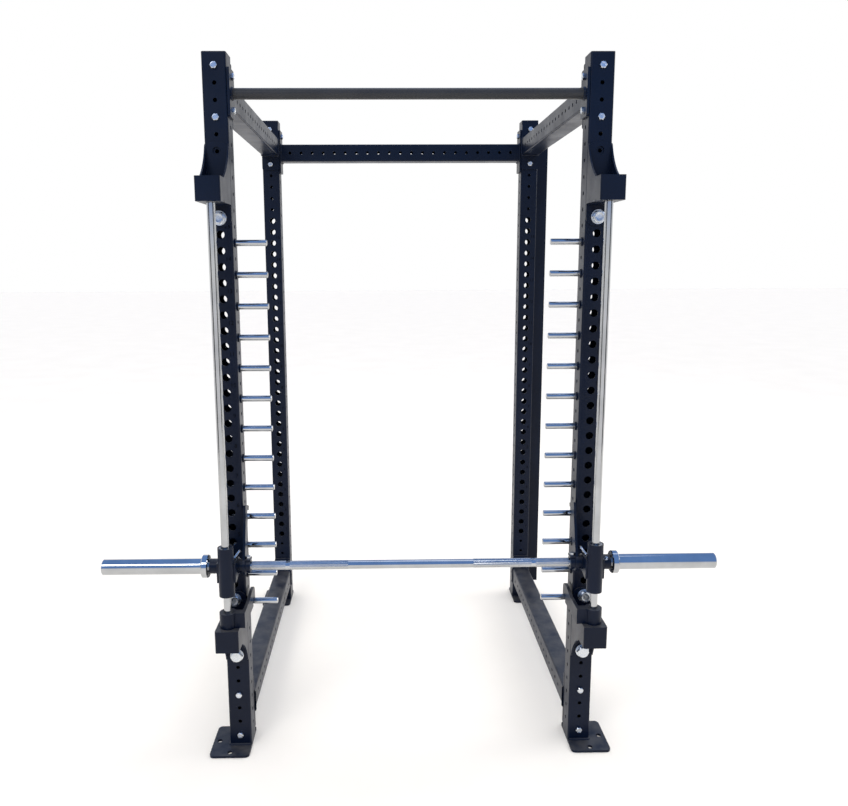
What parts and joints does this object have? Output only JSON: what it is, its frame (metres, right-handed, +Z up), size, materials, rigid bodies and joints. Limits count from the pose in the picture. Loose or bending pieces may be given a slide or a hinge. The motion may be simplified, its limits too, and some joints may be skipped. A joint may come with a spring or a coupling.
{
  "type": "power cage",
  "caption": "Strength training cage of drilled square tube with a pull-up bar, side catch pegs and a barbell guided on vertical rods with lock hooks and safety stops.",
  "frame": {"origin": "on the floor under the middle of the bounding box", "axes": "+X to the right of someone facing the cage from the barbell side, +Y towards the back of the cage, +Z up"},
  "size_m": [1.986, 1.414, 2.286],
  "materials": {
    "frame_coat": "satin black powder coat",
    "bar_coat": "gunmetal grey coat, semi-gloss",
    "chrome": "bright chrome plate",
    "zinc": "bright zinc plate",
    "steel": "ground steel",
    "bronze": "oiled bronze",
    "nylon": "moulded nylon",
    "rubber": "matt seal rubber",
    "black_plastic": "fine moulded texture"
  },
  "bodies": {
    "frame": {"upright_front_left": "frame_coat", "upright_front_right": "frame_coat", "upright_rear_left": "frame_coat", "upright_rear_right": "frame_coat", "foot_plates": "frame_coat", "upright_caps": "black_plastic", "top_beam_left": "frame_coat", "top_beam_right": "frame_coat", "lower_beam_left": "frame_coat", "lower_beam_right": "frame_coat", "beam_flanges": "frame_coat", "rear_crossmember": "frame_coat", "crossmember_flanges": "frame_coat", "pull_up_bar": "bar_coat", "pull_up_flanges": "frame_coat", "rear_side_rail": "frame_coat", "beam_bolts": "zinc", "side_bolts": "zinc", "frame_washers": "zinc", "frame_nuts": "zinc", "catch_pegs_left": "chrome", "catch_pegs_right": "chrome", "peg_seats": "frame_coat", "rod_bracket_top_left": "frame_coat", "rod_bracket_top_right": "frame_coat", "rod_bracket_bottom_left": "frame_coat", "rod_bracket_bottom_right": "frame_coat", "bracket_bolts": "zinc", "bracket_washers": "zinc", "bracket_nuts": "zinc", "guide_rod_left": "chrome", "guide_rod_right": "chrome", "rod_collars": "steel"},
    "carriage": {"carriage_tube_left": "frame_coat", "carriage_tube_right": "frame_coat", "linear_bearings": "steel", "rod_wipers": "rubber", "bar_housing_left": "frame_coat", "bar_housing_right": "frame_coat", "bar_bushings": "bronze", "housing_screw": "zinc", "carriage_gussets": "frame_coat", "twist_stop_screws": "zinc"},
    "bar": {"bar_shaft": "chrome", "lock_hook_left": "frame_coat", "lock_hook_right": "frame_coat", "hook_hubs": "frame_coat", "hub_screws": "zinc"},
    "sleeve_left": {"sleeve_left": "chrome", "sleeve_cap_left": "chrome", "sleeve_bushings_left": "bronze"},
    "sleeve_right": {"sleeve_right": "chrome", "sleeve_cap_right": "chrome", "sleeve_bushings_right": "bronze"},
    "safety_left": {"safety_stop_left": "frame_coat", "safety_bush_left": "nylon"},
    "safety_right": {"safety_stop_right": "frame_coat", "safety_bush_right": "nylon"}
  },
  "joints": [
    {"name": "carriage_slide", "type": "slide", "parent": "frame", "child": "carriage", "axis": [0, 0, 1], "range_m": [-0.0555, 1.055]},
    {"name": "bar_twist", "type": "hinge", "parent": "carriage", "child": "bar", "pos_m": [0, -0.619, 0.6905], "axis": [-1, 0, 0], "range_deg": [-12, 16]},
    {"name": "left_sleeve_spin", "type": "hinge", "parent": "bar", "child": "sleeve_left", "pos_m": [-0.8315, -0.619, 0.6905], "axis": [1, 0, 0], "continuous": true},
    {"name": "right_sleeve_spin", "type": "hinge", "parent": "bar", "child": "sleeve_right", "pos_m": [0.8315, -0.619, 0.6905], "axis": [1, 0, 0], "continuous": true},
    {"name": "left_safety_lift", "type": "slide", "parent": "frame", "child": "safety_left", "axis": [0, 0, 1], "range_m": [0, 0.04]},
    {"name": "right_safety_lift", "type": "slide", "parent": "frame", "child": "safety_right", "axis": [0, 0, 1], "range_m": [0, 0.04]}
  ]
}
